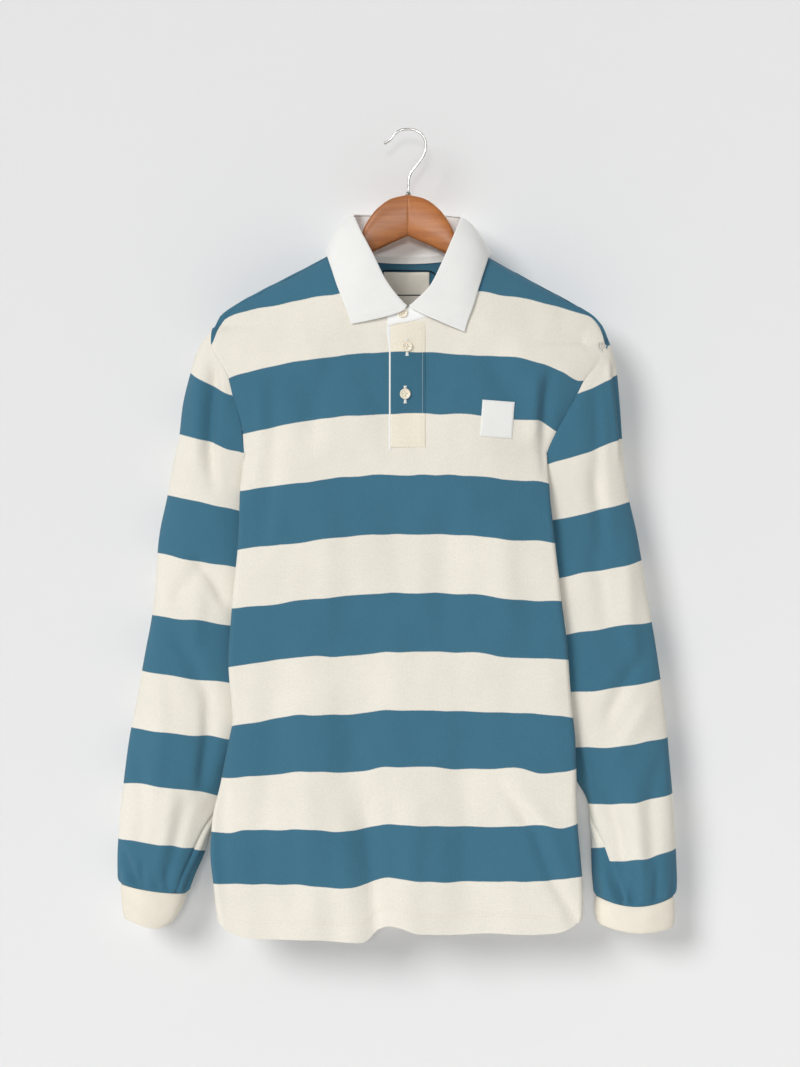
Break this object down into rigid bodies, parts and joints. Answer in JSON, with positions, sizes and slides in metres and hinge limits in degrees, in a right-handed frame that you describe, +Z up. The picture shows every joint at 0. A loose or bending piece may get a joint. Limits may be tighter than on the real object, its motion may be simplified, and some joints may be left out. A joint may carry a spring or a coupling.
{
  "type": "long-sleeve polo shirt on a wooden hanger",
  "caption": "Long-sleeve knitted polo shirt with wide blue and cream stripes, white collar, short button placket and ribbed cuffs, hanging on a wooden hanger with a steel hook.",
  "frame": {"origin": "inside top of the hanger's hook, where a rail or a peg holds it", "axes": "+Z up, the shirt's front looks along -Y, the wearer's left is at +X"},
  "size_m": [0.597, 0.0867, 0.8643],
  "materials": {
    "striped_jersey": "matte knit, wide blue and cream stripes",
    "cream_rib": "matte 1x1 rib",
    "white_twill": "matte twill",
    "corozo": "polished",
    "neck_tape": "matte tape",
    "woven_label": "woven, plain",
    "dark_cord": "matte cord",
    "varnished_wood": "varnished",
    "plated_steel": "bright"
  },
  "bodies": {
    "root": {"front_panel": "striped_jersey", "back_panel": "striped_jersey", "sleeve_right": "striped_jersey", "sleeve_left": "striped_jersey", "cuff_right": "cream_rib", "cuff_left": "cream_rib", "collar_stand": "white_twill", "collar_fall": "white_twill", "neck_tape": "neck_tape", "placket": "striped_jersey", "placket_facing": "white_twill", "button_1": "corozo", "button_2": "corozo", "button_3": "corozo", "chest_patch": "white_twill", "neck_label": "woven_label", "hanging_loop": "dark_cord", "hanger_right": "varnished_wood", "hanger_left": "varnished_wood", "hanger_hook": "plated_steel"}
  },
  "joints": []
}
